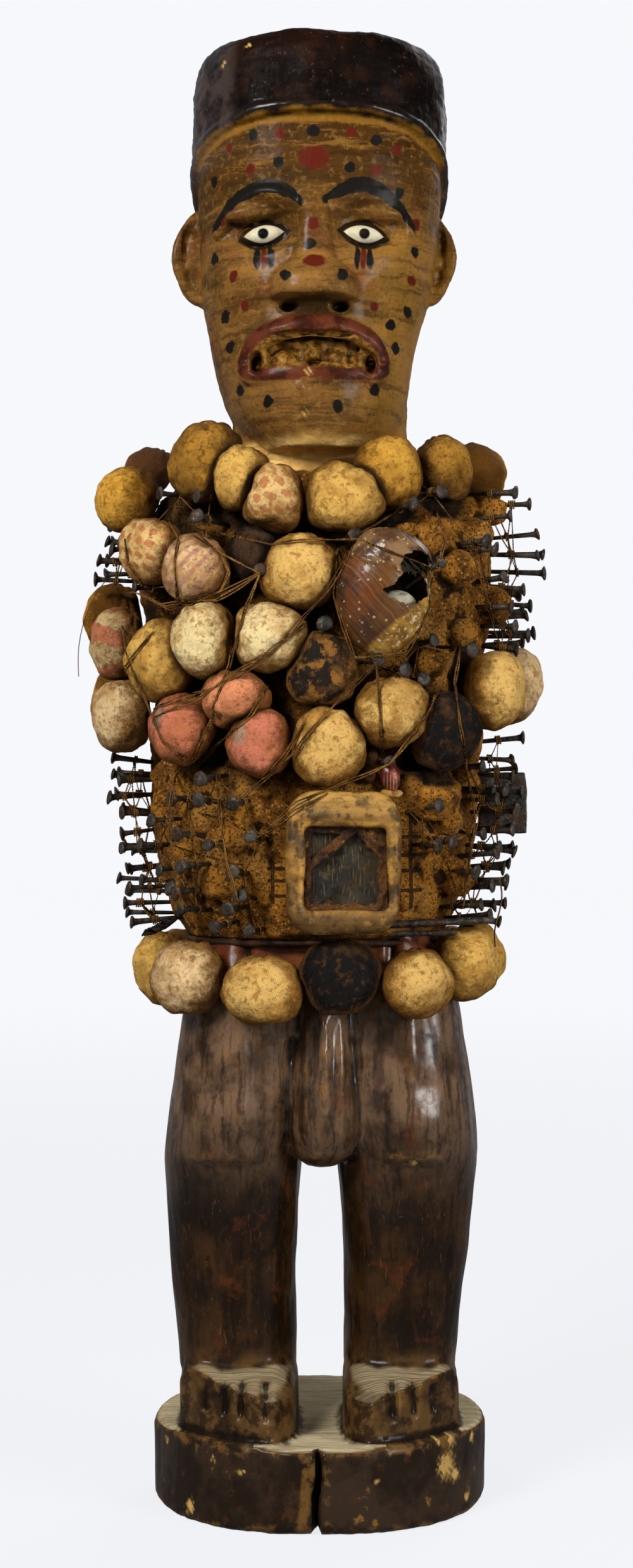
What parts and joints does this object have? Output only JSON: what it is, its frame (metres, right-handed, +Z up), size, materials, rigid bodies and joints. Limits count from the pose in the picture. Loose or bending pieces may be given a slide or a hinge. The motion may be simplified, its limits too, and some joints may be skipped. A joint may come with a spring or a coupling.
{
  "type": "power figure",
  "caption": "Standing carved wooden power figure for ritual protection, with nails, twine, tied cloth bundles, snail shell and belly box, on a round base.",
  "frame": {"origin": "on the underside of the round base, below the middle of the head and neck", "axes": "+Z up, +X to the right of the front view, the figure looks along -Y"},
  "size_m": [0.3168, 0.2692, 0.995],
  "materials": {
    "carved_wood": "worn dark varnish with painted ochre face",
    "earth_crust": "dry earth and resin, granular",
    "box_wood": "worn, oily",
    "resin": "rusty granular resin",
    "dark_pane": "old dark pane, dull",
    "hoop_wood": "worn",
    "shell": "glossy, weathered",
    "plate_iron": "dark, rusty",
    "rod_iron": "dark, rusty",
    "nail_iron": "dark forged iron, with brown twine tied round",
    "black_fibre": "twisted plant fibre",
    "cloth_ochre": "coarse cotton stained with earth",
    "cloth_light": "coarse cotton stained with earth",
    "cloth_pink": "faded printed cotton",
    "cloth_checked": "faded checked cotton",
    "cloth_brown": "coarse dark cloth",
    "cloth_black": "tarred dark cloth"
  },
  "bodies": {
    "root": {"carved_figure": "carved_wood", "torso_crust": "earth_crust", "belly_box": "box_wood", "belly_box_resin": "resin", "belly_box_pane": "dark_pane", "waist_hoop": "hoop_wood", "snail_shell": "shell", "iron_plate": "plate_iron", "iron_rod_long": "rod_iron", "iron_rod_short": "rod_iron", "fibre_tuft": "black_fibre", "nails_chest": "nail_iron", "nails_left_shoulder": "nail_iron", "nails_right_shoulder": "nail_iron", "nails_left_flank": "nail_iron", "nails_right_flank": "nail_iron", "nails_belly_left": "nail_iron", "nails_back": "nail_iron", "collar_bundle_01": "cloth_ochre", "collar_bundle_02": "cloth_ochre", "collar_bundle_03": "cloth_ochre", "collar_bundle_04": "cloth_checked", "collar_bundle_05": "cloth_light", "collar_bundle_06": "cloth_ochre", "collar_bundle_07": "cloth_ochre", "collar_bundle_08": "cloth_pink", "collar_bundle_09": "cloth_ochre", "collar_bundle_10": "cloth_ochre", "collar_bundle_11": "cloth_ochre", "chest_bundle_01": "cloth_pink", "chest_bundle_02": "cloth_checked", "chest_bundle_03": "cloth_brown", "chest_bundle_04": "cloth_light", "chest_bundle_05": "cloth_ochre", "chest_bundle_06": "cloth_pink", "chest_bundle_07": "cloth_ochre", "chest_bundle_08": "cloth_light", "chest_bundle_09": "cloth_light", "chest_bundle_10": "cloth_black", "chest_bundle_11": "cloth_ochre", "chest_bundle_12": "cloth_ochre", "chest_bundle_13": "cloth_pink", "chest_bundle_14": "cloth_pink", "chest_bundle_15": "cloth_pink", "chest_bundle_16": "cloth_light", "chest_bundle_17": "cloth_light", "chest_bundle_18": "cloth_black", "chest_bundle_19": "cloth_light", "chest_bundle_20": "cloth_brown", "waist_bundle_01": "cloth_ochre", "waist_bundle_02": "cloth_light", "waist_bundle_03": "cloth_light", "waist_bundle_04": "cloth_black", "waist_bundle_05": "cloth_light", "waist_bundle_06": "cloth_ochre", "waist_bundle_07": "cloth_ochre", "waist_bundle_08": "cloth_ochre", "waist_bundle_09": "cloth_light", "waist_bundle_10": "cloth_ochre", "waist_bundle_11": "cloth_light"}
  },
  "joints": []
}
